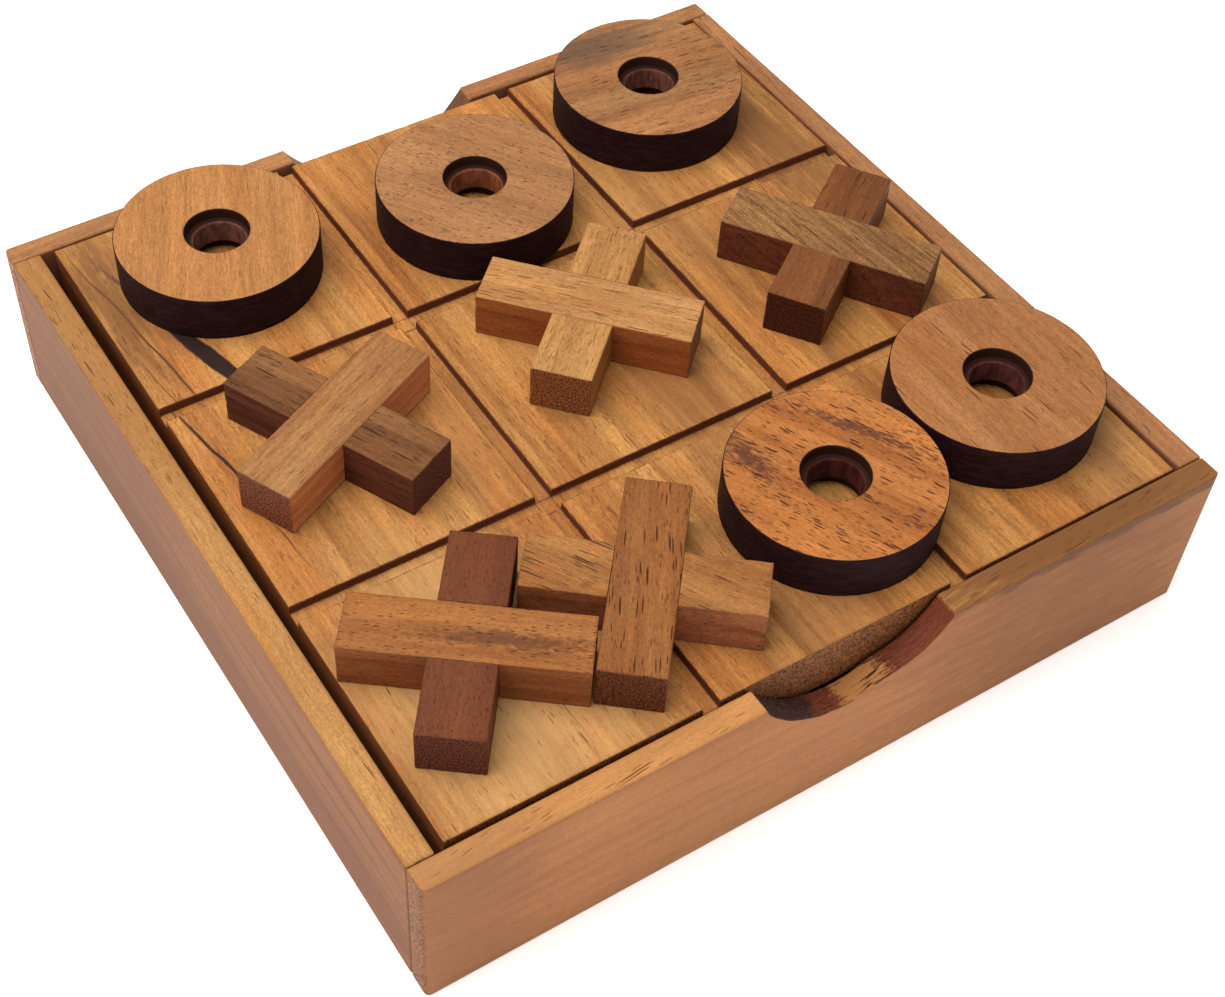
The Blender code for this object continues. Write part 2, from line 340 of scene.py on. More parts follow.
def makeFinishGroup():
    # pores lie over the grain, the flanks take a painted shading, lighter or darker than the tops, end grain
    # takes a speckled colour of its own, a part in painted shade is darkened, and the worn edges are painted
    # last
    group, given = newGroup(
        "woodFinish",
        {"colour": ("Colour", "Pore Colour", "Side Tint", "End Colour", "Shade Colour", "Edge Colour"),
         "float": ("Pores", "Calm", "Fibres", "Shade", "Edge", "Wear"),
         "vector": ("Vector", "Normal", "Grain Axis")},
        {"colour": ("Colour",), "float": ("Height", "Pores")},
    )
    up = calc(group, "ABSOLUTE", partsOf(group, given["Normal"])["Z"])
    flank = ease(group, up, 0.35, 0.8, 1, 0)
    calmed = calc(group, "MULTIPLY_ADD", calc(group, "MULTIPLY", flank, given["Calm"]), -1, 1)
    pores = calc(group, "MULTIPLY", given["Pores"], calmed)
    colour = mixColour(group, pores, given["Colour"], given["Pore Colour"])
    # painted light and shade: steep faces are multiplied by the flank tint
    colour = mixColour(group, flank, colour, mixColour(group, 1, colour, given["Side Tint"], "MULTIPLY"))
    facing = calc(group, "ABSOLUTE", calcVector(group, "DOT_PRODUCT", given["Normal"], given["Grain Axis"]))
    speckle = ease(group, noise(group, given["Vector"], (1200, 3600, 2600), 2, 0.7), 0.36, 0.64, 0.3, 1.8)
    ends = mixColour(group, 1, given["End Colour"], greyOf(group, speckle), "MULTIPLY")
    colour = mixColour(group, ease(group, facing, 0.6, 0.9), colour, ends)
    colour = mixColour(group, given["Shade"], colour, given["Shade Colour"])
    worn = calc(group, "MULTIPLY", given["Edge"], ease(group, given["Fibres"], 0.4, 0.6, 0, given["Wear"]))
    colour = mixColour(group, worn, colour, given["Edge Colour"])
    height = calc(group, "MULTIPLY_ADD", given["Fibres"], 0.6, calc(group, "MULTIPLY", pores, -1))
    return giveOut(group, Colour=colour, Height=height, Pores=pores)


def makeTurnedGroup():
    # a ring's bored and burnt surfaces over its wood: soot in the hole, a streaked web and a charred side
    group, given = newGroup(
        "turnedSurface",
        {"colour": ("Colour", "Char", "Ember", "Soot", "Web Dark", "Web Pale"), "vector": ("Vector",),
         "float": ("Side", "Hole", "Web")},
        {"colour": ("Colour",), "float": ("Burnt",)},
    )
    streaky = noise(group, given["Vector"], (900, 900, 300), 3, 0.6)
    webWood = mixColour(group, ease(group, streaky, 0.4, 0.6), given["Web Dark"], given["Web Pale"])
    colour = mixColour(group, given["Hole"], given["Colour"], given["Soot"])
    colour = mixColour(group, given["Web"], colour, webWood)
    sooty = ease(group, noise(group, given["Vector"], (350, 350, 1700), 3, 0.7), 0.42, 0.66)
    burnt = mixColour(group, sooty, given["Char"], given["Ember"])
    return giveOut(group, Colour=mixColour(group, given["Side"], colour, burnt),
                   Burnt=calc(group, "MAXIMUM", given["Side"], given["Hole"]))


def makeScoopGroup():
    # a cut floor from left to right: charred, then mottled brown, then torn pale splinters, then brown again;
    # the borders wander with a noise, and dark slits lie slantwise across the torn part
    group, given = newGroup(
        "scoopCut",
        {"vector": ("Vector",), "float": ("Centre",), "colour": ("Char", "Ember", "Brown", "Torn", "Slit")},
        {"colour": ("Colour",), "float": ("Height",)},
    )
    drift = noise(group, given["Vector"], (500, 900, 500), 3, 0.6)
    mottle = noise(group, given["Vector"], (1500, 2200, 1500), 3, 0.7)
    x = calc(group, "SUBTRACT", partsOf(group, given["Vector"])["X"], given["Centre"])
    x = addAround(group, drift, 7 * mm, x)
    x = addAround(group, mottle, 5 * mm, x)
    spots = calc(group, "MULTIPLY", ease(group, mottle, 0.47, 0.64), ease(group, x, 4 * mm, 12 * mm, 1, 0.35))
    brown = mixColour(group, spots, given["Brown"], given["Slit"])
    charred = mixColour(group, ease(group, mottle, 0.38, 0.64), given["Char"], given["Ember"])
    colour = mixColour(group, ease(group, x, -8.5 * mm, -5 * mm), charred, brown)
    torn = calc(group, "MULTIPLY", ease(group, x, -3 * mm, -1 * mm), ease(group, x, 4.5 * mm, 7 * mm, 1, 0))
    inputs = {"Vector": given["Vector"], "Rotation": (0, 0, math.radians(-52)), "Scale": (220, 2600, 220)}
    slant = addNode(group, "Mapping", inputs, vector_type="POINT").outputs[0]
    slits = ease(group, noise(group, slant, (1, 1, 1)), 0.53, 0.6)
    colour = mixColour(group, torn, colour, mixColour(group, slits, given["Torn"], given["Slit"]))
    height = calc(group, "MULTIPLY_ADD", slits, -2.2, calc(group, "MULTIPLY", mottle, 2.5))
    return giveOut(group, Colour=colour, Height=height)


grainGroup = makeGrainGroup()
poreGroup = makePoreGroup()
stainAndShadeGroup = makeStainAndShadeGroup()
raggedGroup = makeRaggedGroup()
finishGroup = makeFinishGroup()
turnedGroup = makeTurnedGroup()
scoopGroup = makeScoopGroup()


def useGroup(tree, group, **inputs):
    # one use of a shared group; an input named in camel case fills the socket of the same words
    labelled = {}
    for key, value in inputs.items():
        labelled["".join(" " + letter if letter.isupper() else letter for letter in key).title()] = value
    return addNode(tree, "Group", labelled, node_tree=group).outputs


def attributeOf(tree, name):
    return addNode(tree, "Attribute", attribute_name=name).outputs["Fac"]


def scaledColour(colour, *factors):
    factors = factors if len(factors) == 3 else factors * 3
    return (*[min(1, part * factor) for part, factor in zip(colour, factors)], 1)


def raggedMark(made, name, cycles, rough, low, high):
    return useGroup(made["tree"], raggedGroup, vector=made["object"], cycles=(cycles,) * 3,
                    mark=attributeOf(made["tree"], name), rough=rough, low=low, high=high)["Mask"]


def layStainsAndShading(tree, colour, local, stainsAndShading):
    # each row lays a stain or a painted patch of light or shade: middle along and across the grain, length
    # and width in millimetres, turn in degrees, colour, strength, other values; an upright patch lies on the
    # flanks, along and up
    axes = partsOf(tree, local)
    upright = joined(tree, X=axes["X"], Y=axes["Z"], Z=axes["Y"])
    for along, across, length, width, angle, tint, strength, *other in stainsAndShading:
        extra = dict(*other)
        mask = useGroup(
            tree, stainAndShadeGroup, vector=upright if extra.get("upright") else local,
            middle=(along * mm, across * mm, 0), turn=(0, 0, math.radians(angle)),
            halfSize=(length * mm / 2, width * mm / 2, 1),
            ragged=tuple(1000 * cycles for cycles in extra.get("ragged", (0.12, 0.9, 0.9))),
            rough=extra.get("rough", 1.6), core=extra.get("core", 0.3), sway=extra.get("sway", 2) * mm,
            strength=strength)["Mask"]
        colour = mixColour(tree, mask, colour, (*tint, 1))
    return colour


woodDefaults = {
    "slant": 0, "dive": 0.7, "contrast": 1, "heart": (0, 14, -45), "ringWidth": 3, "ringBend": 5,
    "ringDepth": 0.35, "lineDepth": 0, "streak": 0.9, "fibre": 0.9, "cloud": 0.6, "fuzz": 1.1,
    "blush": (0.97, 0.89, 0.8), "stainsAndShading": (), "poreTint": (0.2, 0.13, 0.12), "calm": 0.3,
    # the flank tint is painted light and shade: it makes the flanks lighter or darker than the tops as the
    # light falls on them
    "sideTint": (0.88, 0.8, 0.8), "endTint": (0.42, 0.32, 0.32), "edgeTint": (0.62, 0.5, 0.42),
    "edgeWear": 0.5, "shadeColour": (0.2, 0.075, 0.042), "shadeStrength": 0.85,
    "bump": 0.6, "bumpDepth": 0.12 * mm, "roughness": 0.45, "shine": 0.14,
}


def woodMaterial(name, centre, grainTurn, wood, shade=None):
    # a wood for one piece, with its grain, stains, painted patches of light and shade, and pores in the
    # piece's own turned frame
    wood = {**woodDefaults, **wood}
    material = bpy.data.materials.new(name)
    material.use_nodes = True
    tree = material.node_tree
    shader = tree.nodes["Principled BSDF"]
    place = addNode(tree, "TexCoord").outputs
    turn = math.radians(grainTurn + wood["slant"])
    inputs = {"Vector": place["Object"], "Location": tuple(centre),
              "Rotation": (0, math.radians(wood["dive"]), turn)}
    local = addNode(tree, "Mapping", inputs, vector_type="TEXTURE").outputs[0]
    tone, contrast = wood["tone"], wood["contrast"]
    shared = ("seed", "heart", "ringWidth", "ringBend", "ringDepth", "lineDepth", "streak", "fibre", "cloud",
              "fuzz")
    grain = useGroup(
        tree, grainGroup, vector=local, **{key: wood[key] for key in shared},
        pale=scaledColour(tone, 1 + 0.32 * contrast),
        dark=scaledColour(tone, 1 - 0.38 * contrast, 1 - 0.48 * contrast, 1 - 0.52 * contrast),
        blush=(*wood["blush"], 1))
    pores = 0
    for length, width, amount, bands, strength in wood["pores"]:
        pores = useGroup(tree, poreGroup, moved=grain["Moved"], length=length, width=width, amount=amount,
                         bands=bands, strength=strength, earlier=pores)["Pores"]
    shaded = calc(tree, "MULTIPLY", attributeOf(tree, shade), wood["shadeStrength"]) if shade else 0
    finish = useGroup(
        tree, finishGroup, colour=layStainsAndShading(tree, grain["Colour"], local, wood["stainsAndShading"]), pores=pores,
        poreColour=scaledColour(tone, *wood["poreTint"]), calm=wood["calm"], fibres=grain["Fibres"],
        vector=local, normal=place["Normal"], grainAxis=(math.cos(turn), math.sin(turn), 0),
        sideTint=(*wood["sideTint"], 1), endColour=scaledColour(tone, *wood["endTint"]),
        shade=shaded, shadeColour=(*wood["shadeColour"], 1), edge=attributeOf(tree, "edge"),
        wear=wood["edgeWear"], edgeColour=scaledColour(tone, *wood["edgeTint"]))
    bump = addNode(tree, "Bump", {"Height": finish["Height"], "Strength": wood["bump"],
                                  "Distance": wood["bumpDepth"]})
    rough = calc(tree, "MULTIPLY_ADD", grain["Fibres"], 0.25, wood["roughness"])
    rough = calc(tree, "MULTIPLY_ADD", finish["Pores"], 0.25, rough)
    tree.links.new(finish["Colour"], shader.inputs["Base Color"])
    tree.links.new(rough, shader.inputs["Roughness"])
    tree.links.new(bump.outputs["Normal"], shader.inputs["Normal"])
    shader.inputs["Specular IOR Level"].default_value = wood["shine"]
    return {"material": material, "tree": tree, "shader": shader, "colour": finish["Colour"],
            "object": place["Object"], "normal": place["Normal"], "height": finish["Height"], "bump": bump}


def coverWith(made, mask, colour):
    # lay another colour over the wood where the mask says so
    made["colour"] = mixColour(made["tree"], mask, made["colour"], colour)
    made["tree"].links.new(made["colour"], made["shader"].inputs["Base Color"])


def middleOf(*nodes):
    boxes = [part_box(node) for node in nodes]
    low = [min(box[0][n] for box in boxes) for n in range(3)]
    high = [max(box[1][n] for box in boxes) for n in range(3)]
    return np.array([(a + b) / 2 for a, b in zip(low, high)]), np.array(low), np.array(high)


# ---- the box ----

cavity = {"halfX": 65.6 * mm, "halfY": 66 * mm}

wallSettings = {
    "roll": 0.4 * mm,
    "spacing": (0.9 * mm, 0.5 * mm, 1 * mm),  # along the wall, through it and up
    "cornerRoll": 1.2 * mm,
    "glueLine": 0.03 * mm,
    "scoopDepth": 9.6 * mm,
    "cornerShift": {(-1, -1): (0.4, 0), (1, -1): (-0.2, 0), (1, 1): (-1.3, -0.3), (-1, 1): (0.05, -0.2)},
    "walls": {
        "front_wall": {"scoop": (1.2 * mm, 33.6 * mm), "grainTurn": 0,
            "wood": {"tone": (0.43, 0.212, 0.07), "seed": 1, "slant": 6, "blush": (1, 0.95, 0.95), "dive": 1,
            "ringDepth": 0.25, "streak": 0.3, "sideTint": (0.82, 0.71, 0.74), "contrast": 0.7, "fibre": 0.5,
            "fuzz": 0.7, "calm": 0.8, "pores": ((2, 0.12, 0.36, 1.4, 0.6), (7, 0.18, 0.16, 1.2, 0.8)),
            # painted shade: the right end is darkened where the light falls off; the left end and a thin
            # upright band high on the right half are darker too
            "stainsAndShading": ((-66, 0, 34, 44, 0, (0.27, 0.125, 0.055), 0.5),
            (50, 0, 90, 30, 0, (0.22, 0.088, 0.025), 0.7, {"rough": 0.8}),
            (52, 15.5, 86, 5, 0, (0.1, 0.036, 0.012), 0.65, {"upright": True, "core": 0.7}))}},
        "back_wall": {"scoop": (-0.9 * mm, 36 * mm), "grainTurn": 0,
            "wood": {"tone": (0.285, 0.135, 0.052), "seed": 2, "slant": 1, "endTint": (0.8, 0.7, 0.8),
            "blush": (1, 0.9, 0.9), "calm": 0.8,
            "pores": ((2.4, 0.14, 0.36, 1, 0.6), (6, 0.24, 0.12, 0.9, 0.85))}},
        "left_wall": {"grainTurn": 90, "wood": {"tone": (0.35, 0.18, 0.058), "seed": 3, "slant": 1,
            "sideTint": (0.61, 0.46, 0.42), "calm": 0.85, "streak": 0.6, "fibre": 0.8,
            "pores": ((1.8, 0.1, 0.28, 1.2, 0.6), (3, 0.17, 0.07, 1.3, 0.85)),
            # painted shade: an upright band darkens the lower half of the flanks, and the back half of the
            # top is darkened where the light falls off
            "stainsAndShading": ((0, -9, 260, 16, 0, (0.21, 0.095, 0.035), 0.6, {"upright": True, "rough": 0.7}),
            (40, 0, 100, 30, 0, (0.23, 0.105, 0.033), 0.5))}},
        "right_wall": {"grainTurn": 90, "wood": {"tone": (0.28, 0.13, 0.052), "seed": 4, "slant": -1,
            "blush": (1, 0.9, 0.95), "calm": 0.8,
            "pores": ((2, 0.14, 0.4, 0.9, 0.6), (5, 0.22, 0.08, 0.9, 0.8))}},
    },
    "scoopWoods": {
        "front_wall": {"char": (0.024, 0.0095, 0.0085, 1), "ember": (0.062, 0.027, 0.025, 1),
            "brown": (0.145, 0.034, 0.0135, 1), "torn": (0.36, 0.15, 0.047, 1),
            "slit": (0.045, 0.015, 0.009, 1)},
        "back_wall": {"char": (0.19, 0.085, 0.038, 1), "ember": (0.22, 0.1, 0.044, 1),
            "brown": (0.13, 0.055, 0.028, 1), "torn": (0.24, 0.11, 0.045, 1),
            "slit": (0.07, 0.026, 0.014, 1)},
    },
}


def roundCorners(points, halfX, halfY, radius):
    # in plan, a point outside the corner's circle is pulled in to it; the rest stay
    x, y = points[:, 0], points[:, 1]
    dx = np.maximum(np.abs(x) - (halfX - radius), 0)
    dy = np.maximum(np.abs(y) - (halfY - radius), 0)
    reach = np.hypot(dx, dy)
    scale = np.where((dx > 0) & (dy > 0) & (reach > radius), radius / np.maximum(reach, 1e-9), 1)
    points[:, 0] = np.sign(x) * (np.abs(x) - dx + dx * scale)
    points[:, 1] = np.sign(y) * (np.abs(y) - dy + dy * scale)
    return points


def outOfSquare(points, shifts):
    # each outer corner of the plan moves by its own small amount, blended evenly between the corners and
    # fading to nothing at the cavity
    halfX, halfY = cadBox[1][0], cadBox[1][1]
    u, v = points[:, 0] / halfX, points[:, 1] / halfY
    outX = smoothStep(cavity["halfX"], halfX, np.abs(points[:, 0]))
    outY = smoothStep(cavity["halfY"], halfY, np.abs(points[:, 1]))
    moveX, moveY = np.zeros(len(points)), np.zeros(len(points))
    for (sideX, sideY), (shiftX, shiftY) in shifts.items():
        share = (1 + sideX * u) * (1 + sideY * v) / 4
        moveX += share * shiftX * mm
        moveY += share * shiftY * mm
    points[:, 0] += moveX * outX
    points[:, 1] += moveY * outY
    return points


def scoopTop(x, scoop, top, depth):
    # the top edge's height: a circular arc dips below the flat top, z = c - sqrt(r^2 - x^2), with a low swell
    # on the right of its floor where the fibres tore short
    centre, width = scoop
    radius = (width * width / 4 + depth * depth) / (2 * depth)
    arc = top - depth + radius - np.sqrt(np.maximum(radius ** 2 - (x - centre) ** 2, 0))
    swell = 1.1 * mm * np.exp(-((x - centre - 5.5 * mm) / (4 * mm)) ** 2)
    return np.minimum(top, np.where(np.abs(x - centre) < radius, arc + swell, top))


def chipEdges(points, edgeDistance, seed, depth=0.09 * mm, cycles=420):
    # near an edge the surface sinks towards the middle of the piece where a fine noise is high
    near = 1 - smoothStep(0, 0.5 * mm, edgeDistance)
    chip = smoothStep(0.15, 0.75, sineNoise(points, cycles, seed, 14)) * near
    inward = points.mean(axis=0) - points
    return points + inward / np.linalg.norm(inward, axis=1)[:, None] * (chip * depth)[:, None]


def wobble(points, seed, size):
    # slow waves, a few hundredths of a millimetre high, on each axis in turn
    moved = points.copy()
    for axis in range(3):
        moved[:, axis] += size * sineNoise(points, 45, seed * 3 + axis, 8)
    return moved


def makeWall(name, settings):
    middle, low, high = middleOf(name)
    own = settings["walls"][name]
    size = high - low
    alongX = size[0] > size[1]
    if not alongX:
        size[1] = 2 * (cavity["halfY"] - settings["glueLine"])
    length, thickness, height = settings["spacing"]
    spacing = (length, thickness, height) if alongX else (thickness, length, height)
    extraX = ()
    if "scoop" in own:
        reach = own["scoop"][1] / 2
        extraX = own["scoop"][0] + np.arange(-reach - 2 * mm, reach + 2 * mm, 0.2 * mm)
    points, quads, sharp, edgeDistance = rolledBlock(size, settings["roll"], spacing, extraX)
    points = chipEdges(points, edgeDistance, own["wood"]["seed"])
    points = points + middle
    scoop = np.zeros(len(points))
    if "scoop" in own:
        top = scoopTop(points[:, 0], own["scoop"], high[2], settings["scoopDepth"])
        across = (points[:, 1] - middle[1]) / size[1] * (1 if middle[1] < 0 else -1)
        ragged = sineNoise(points * np.array([1, 0.4, 0]), 330, 7, 12) * smoothStep(-0.1, 0.5, -across)
        sunk = smoothStep(0.3 * mm, 2 * mm, high[2] - top)
        top = top + ragged * sunk * 0.16 * mm
        points[:, 2] = low[2] + (points[:, 2] - low[2]) * (top - low[2]) / (high[2] - low[2])
        onTop = smoothStep(size[2] / 2 - 0.5 * mm, size[2] / 2 - 0.1 * mm, sharp[:, 2])
        scoop = smoothStep(0.25 * mm, 0.7 * mm, high[2] - top) * onTop
    # painted shade: the inside mark darkens the walls' inner faces below their top edge, through the shade
    # colour
    inner = np.where(alongX, cavity["halfY"] + 0.15 * mm - np.abs(points[:, 1]),
                     cavity["halfX"] + 0.15 * mm - np.abs(points[:, 0]))
    inside = smoothStep(-0.2 * mm, 0, inner) * smoothStep(0.1 * mm, 0.9 * mm, high[2] - points[:, 2])
    points = roundCorners(points, cadBox[1][0], cadBox[1][1], settings["cornerRoll"])
    points = outOfSquare(points, settings["cornerShift"])
    edge = 1 - smoothStep(0.1 * mm, 0.8 * mm, edgeDistance)
    marks = {"edge": edge * (1 - scoop), "scoop": scoop, "inside": inside * (1 - scoop)}
    piece = makePiece(name + "_wood", points, quads, "box", [name], marks)
    made = woodMaterial(name + "Wood", middle, own["grainTurn"], own["wood"], "inside")
    if "scoop" in own:
        paintScoop(made, own["scoop"][0], settings["scoopWoods"][name])
    piece.data.materials.append(made["material"])


def paintScoop(made, centre, colours):
    tree = made["tree"]
    cut = useGroup(tree, scoopGroup, vector=made["object"], centre=centre, **colours)
    coverWith(made, raggedMark(made, "scoop", 900, 1.2, 0.35, 0.65), cut["Colour"])
    rough = calc(tree, "MULTIPLY", attributeOf(tree, "scoop"), cut["Height"])
    tree.links.new(calc(tree, "ADD", made["height"], rough), made["bump"].inputs["Height"])


for name in wallSettings["walls"]:
    makeWall(name, wallSettings)
for name in ("base_panel", "ledge_left", "ledge_right"):
    middle, low, high = middleOf(name)
    points, quads, sharp, edgeDistance = rolledBlock(high - low, 0.2 * mm, (2.5 * mm, 2.5 * mm, 1 * mm))
    points = chipEdges(points, edgeDistance, 9)
    edge = 1 - smoothStep(0.1 * mm, 0.9 * mm, edgeDistance)
    piece = makePiece(name + "_wood", points + middle, quads, "box", [name], {"edge": edge})
    wood = {"tone": (0.36, 0.19, 0.08), "seed": 5 + len(name), "pores": ((2, 0.15, 0.4, 0.8, 0.6),)}
    piece.data.materials.append(woodMaterial(name + "Wood", middle, 90, wood)["material"])
print("made the box")


# ---- the board ----

boardSettings = {
    "turn": math.radians(-0.25),
    "grooveWidth": 2.8 * mm,
    "grooveDepth": 1.6 * mm,
    "roll": 0.25 * mm,
    "spacing": (0.7 * mm, 1 * mm, 1.2 * mm),
    "wood": {
        "tone": (0.36, 0.172, 0.05), "seed": 11, "heart": (0, -92, -30), "ringWidth": 6.5, "ringBend": 9,
        "streak": 1.2, "cloud": 1.2, "fibre": 0.85, "contrast": 1.05, "sideTint": (0.52, 0.38, 0.44),
        "endTint": (0.44, 0.34, 0.4), "blush": (0.97, 0.82, 0.72),
        "pores": ((1.3, 0.085, 0.3, 1.8, 0.65), (2.4, 0.13, 0.05, 0.8, 0.75)),
        "stainsAndShading": (
            (50, 55.5, 50, 9, 7, (0.2, 0.095, 0.04), 0.6),
            (30, 52.3, 24, 3, 15, (0.014, 0.0062, 0.0068), 0.98,
             {"ragged": (0.25, 0.8, 0.8), "rough": 0.35, "core": 0.85, "sway": 0.4}),
            (50, 57, 26, 1, 14, (0.075, 0.035, 0.03), 0.85),
            (43, 60.1, 46, 0.6, 6.9, (0.022, 0.008, 0.006), 0.95, {"rough": 1, "core": 0.55}),
            (28, 61.6, 18, 0.3, 8, (0.07, 0.026, 0.012), 0.8, {"rough": 1.2}),
            (10, 60.3, 30, 0.6, 7.7, (0.022, 0.008, 0.006), 0.95, {"rough": 1.1, "core": 0.55}),
            (-10, 58.8, 16, 0.34, 8, (0.07, 0.026, 0.012), 0.75, {"rough": 1.4}),
            # the broad patches from here to the one at (-60, -2) are partly the wood's own tone and partly
            # painted light and shade: paler where the board lies in more light, darker where it lies in shade
            (-46, 46, 72, 48, 0, (0.52, 0.32, 0.135), 0.6, {"core": 0.1, "rough": 0.8}),
            (28, -29, 42, 24, 0, (0.47, 0.24, 0.08), 0.5, {"core": 0.1}),
            (-57, -57, 26, 16, 0, (0.48, 0.24, 0.085), 0.55, {"core": 0.1}),
            (47, 61, 52, 10, 0, (0.16, 0.065, 0.022), 0.75),
            (28, -58, 50, 20, 0, (0.15, 0.064, 0.02), 0.7, {"core": 0.2}),
            (-16, -9, 44, 20, 0, (0.21, 0.085, 0.028), 0.5, {"core": 0.1}),
            (-7, 26, 34, 16, 0, (0.24, 0.105, 0.036), 0.5, {"core": 0.1}),
            (-60, -2, 28, 22, 0, (0.23, 0.1, 0.038), 0.5, {"core": 0.1}),
            (-46, 40, 34, 0.34, 2, (0.08, 0.03, 0.014), 0.6),
            (-20, -34, 100, 3.6, 1.5, (0.15, 0.052, 0.018), 0.55),
            (30, -29, 80, 5, -1.5, (0.17, 0.062, 0.022), 0.55),
            (38, -52, 70, 8, 1, (0.19, 0.07, 0.025), 0.5),
            (-46, -56, 70, 12, 0.5, (0.16, 0.066, 0.026), 0.5),
            (0, -5, 60, 6, -2, (0.22, 0.085, 0.028), 0.4),
        )},
}


def grooveDip(place, centres, width):
    # 1 on the floor of a groove and 0 outside, over a wall that leans by a tenth of a millimetre
    dip = np.zeros_like(place)
    for centre in centres:
        dip = np.maximum(dip, smoothStep(-0.05 * mm, 0.09 * mm, width / 2 - np.abs(place - centre)))
    return dip


def makeBoard(settings):
    middle, low, high = middleOf("game_board")
    swing = abs(math.sin(settings["turn"]))
    outer = high - low
    size = np.array([outer[0] - swing * outer[1], outer[1] - swing * outer[0], outer[2]])
    width = settings["grooveWidth"]
    lines = [(size[n] - 2 * width) / 3 / 2 + width / 2 for n in range(2)]
    offsets = np.array([-0.5, -0.25, -0.1, -0.03, 0.02, 0.06, 0.12, 0.3, 0.8]) * mm
    extras = [np.concatenate([side * (line + turn * (width / 2 - offsets))
                              for side in (-1, 1) for turn in (-1, 1)]) for line in lines]
    points, quads, sharp, edgeDistance = rolledBlock(size, settings["roll"], settings["spacing"], *extras)
    points = chipEdges(points, edgeDistance, 12)
    dipX = grooveDip(points[:, 0] + 0.05 * mm * sineNoise(points, 90, 3), (-lines[0], lines[0]), width)
    dipY = grooveDip(points[:, 1] + 0.05 * mm * sineNoise(points, 90, 4), (-lines[1], lines[1]), width)
    dip = np.maximum(dipX, dipY)
    half = size[2] / 2
    points[:, 2] = -half + (points[:, 2] + half) * (1 - dip * settings["grooveDepth"] / size[2])
    near = np.minimum(*[np.abs(np.abs(np.abs(points[:, n]) - lines[n]) - width / 2) for n in range(2)])
    onTop = smoothStep(half - 0.1 * mm, half, sharp[:, 2])
    fringe = (1 - smoothStep(0, 0.5 * mm, near)) * onTop
    edge = np.maximum(1 - smoothStep(0.1 * mm, 0.7 * mm, edgeDistance), 0.3 * fringe)
    points = turned(points, settings["turn"]) + middle
    piece = makePiece("game_board_wood", points, quads, "board", ["game_board"],
                      {"edge": edge, "groove": dip * onTop, "fringe": fringe})
    made = woodMaterial("boardWood", middle, 90, settings["wood"])
    tree = made["tree"]
    # painted shade: the steep walls inside the grooves are darkened
    flat = partsOf(tree, made["normal"])["Z"]
    cut = calc(tree, "MULTIPLY", ease(tree, attributeOf(tree, "groove"), 0.02, 0.2),
               ease(tree, flat, 0.3, 0.8, 1, 0))
    fuzz = raggedMark(made, "fringe", 900, 1.8, 0.6, 1)
    coverWith(made, calc(tree, "MULTIPLY", fuzz, 0.75), (0.13, 0.04, 0.018, 1))
    coverWith(made, calc(tree, "MULTIPLY", cut, 0.85), (0.085, 0.022, 0.01, 1))
    piece.data.materials.append(made["material"])


makeBoard(boardSettings)
print("made the board")


# ---- the rings ----

ringSettings = {
    "roll": 0.18 * mm,
    "spacing": 0.45 * mm,
    "steps": 288,
    "hole": 5.3 * mm,
    "web": 4.3 * mm,
    "boreDepth": 2 * mm,
    "webShift": (0.22 * mm, -0.12 * mm, 0),  # the web was bored a little off centre
    "sink": 0.25 * mm,
    "char": (0.0135, 0.0045, 0.0058, 1),
    "ember": (0.026, 0.009, 0.0085, 1),
    "soot": (0.028, 0.01, 0.0065, 1),
    "woods": {
        "ring_1": {"turn": 66, "web": (0.1, 0.041, 0.03), "tone": (0.32, 0.145, 0.046), "seed": 21,
            "contrast": 0.8, "ringWidth": 2.2, "ringDepth": 0.25, "fibre": 1,
            "pores": ((1.8, 0.09, 0.4, 0.9, 0.45),)},
        "ring_2": {"turn": 123, "web": (0.155, 0.05, 0.023), "tone": (0.285, 0.138, 0.055), "seed": 22,
            "contrast": 0.9, "cloud": 0.9, "blush": (0.97, 0.93, 0.88), "streak": 0.5,
            "pores": ((0.6, 0.15, 0.45, 0.7, 0.8), (1.6, 0.12, 0.25, 0.9, 0.6))},
        "ring_3": {"turn": -6, "web": (0.1, 0.037, 0.025), "tone": (0.262, 0.132, 0.052), "seed": 23,
            "streak": 1.1, "cloud": 1, "blush": (1, 0.86, 0.78),
            "pores": ((1.8, 0.18, 0.5, 1, 0.9), (1, 0.1, 0.4, 0.8, 0.5)),
            "stainsAndShading": ((-5, 11, 30, 13, 0, (0.085, 0.055, 0.036), 0.7),)},
        "ring_4": {"turn": -89, "web": (0.06, 0.019, 0.016), "tone": (0.285, 0.123, 0.043), "seed": 24,
            "contrast": 0.8, "pores": ((3.4, 0.17, 0.2, 0.5, 0.85), (1, 0.1, 0.35, 0.8, 0.5))},
        "ring_5": {"turn": 114, "web": (0.045, 0.01, 0.008), "tone": (0.335, 0.13, 0.034), "seed": 25,
            "streak": 1.2, "cloud": 1, "poreTint": (0.14, 0.07, 0.12),
            "pores": ((1.5, 0.22, 0.66, 1.5, 0.92), (0.9, 0.14, 0.6, 1.3, 0.85)),
            "stainsAndShading": (
                (0, -9.8, 26, 2.6, 8, (0.05, 0.014, 0.012), 0.75,
                 {"ragged": (0.7, 2.4, 2.4), "rough": 4}),
                (12, 4.8, 14, 4.6, -17, (0.05, 0.014, 0.012), 0.75,
                 {"ragged": (0.7, 2.4, 2.4), "rough": 4}))},
    },
}


